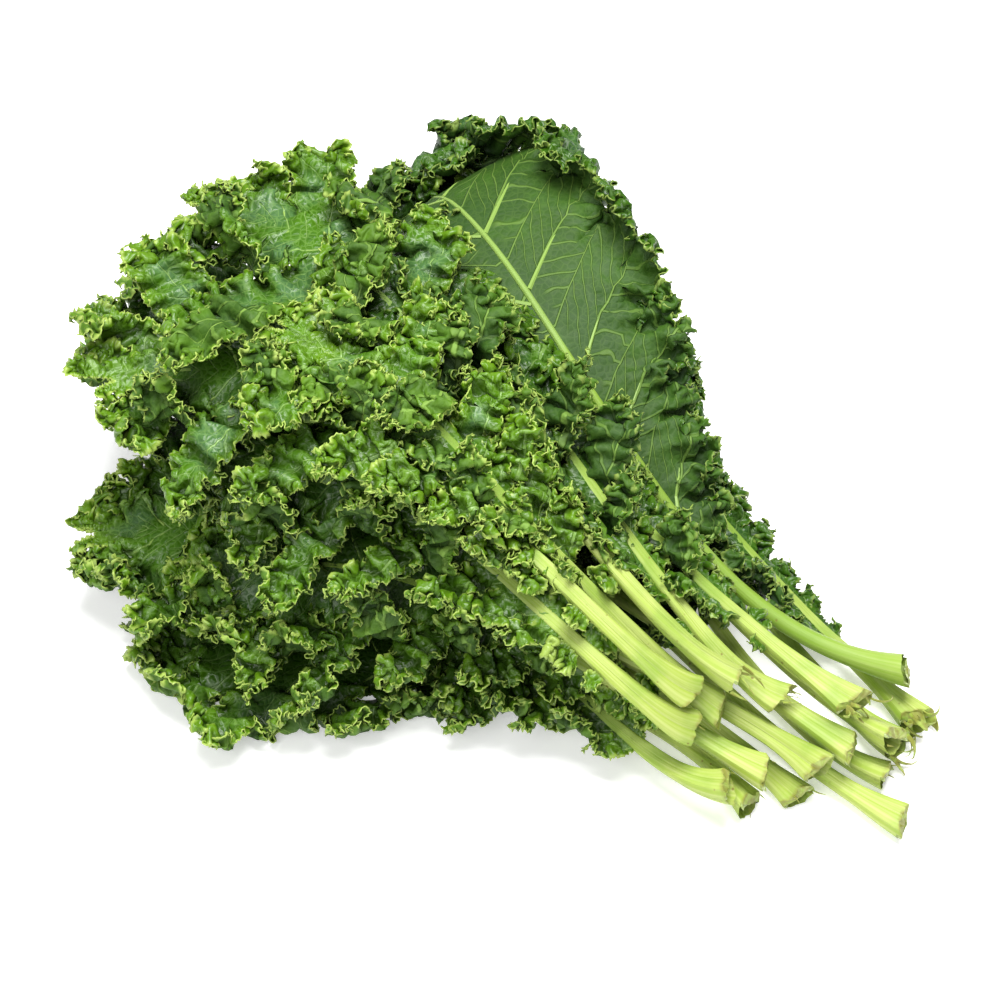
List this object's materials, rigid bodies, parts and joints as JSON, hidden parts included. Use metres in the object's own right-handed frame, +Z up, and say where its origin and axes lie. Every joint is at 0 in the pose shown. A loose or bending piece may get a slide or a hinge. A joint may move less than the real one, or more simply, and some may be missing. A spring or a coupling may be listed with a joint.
{
  "type": "kale bunch",
  "caption": "Bunch of cut curly kale leaves lying loose on its side, pale stalks piled together at one end and frilled green blades fanned out at the other.",
  "frame": {"origin": "centre of the bunch's bounding box, on the surface it lies on", "axes": "+X towards the cut stalk ends, +Y across the bunch to its back, +Z up; the leaf tips point to -X"},
  "size_m": [0.3942, 0.2862, 0.1335],
  "materials": {
    "stalk": "pale yellow-green, faintly waxy, finely ribbed lengthwise",
    "blade": "mid to dark green with a bluish waxy bloom, paler veins and a thin yellow-green edge"
  },
  "bodies": {
    "root": {"leaf_01_stalk": "stalk", "leaf_01_blade": "blade", "leaf_02_stalk": "stalk", "leaf_02_blade": "blade", "leaf_03_stalk": "stalk", "leaf_03_blade": "blade", "leaf_04_stalk": "stalk", "leaf_04_blade": "blade", "leaf_05_stalk": "stalk", "leaf_05_blade": "blade", "leaf_06_stalk": "stalk", "leaf_06_blade": "blade", "leaf_07_stalk": "stalk", "leaf_07_blade": "blade", "leaf_08_stalk": "stalk", "leaf_08_blade": "blade", "leaf_09_stalk": "stalk", "leaf_09_blade": "blade", "leaf_10_stalk": "stalk", "leaf_10_blade": "blade", "leaf_11_stalk": "stalk", "leaf_11_blade": "blade", "leaf_12_stalk": "stalk", "leaf_12_blade": "blade", "leaf_13_stalk": "stalk", "leaf_13_blade": "blade", "leaf_14_stalk": "stalk", "leaf_14_blade": "blade", "leaf_15_stalk": "stalk", "leaf_15_blade": "blade", "leaf_16_stalk": "stalk", "leaf_16_blade": "blade", "leaf_17_stalk": "stalk", "leaf_17_blade": "blade", "leaf_18_stalk": "stalk", "leaf_18_blade": "blade"}
  },
  "joints": []
}
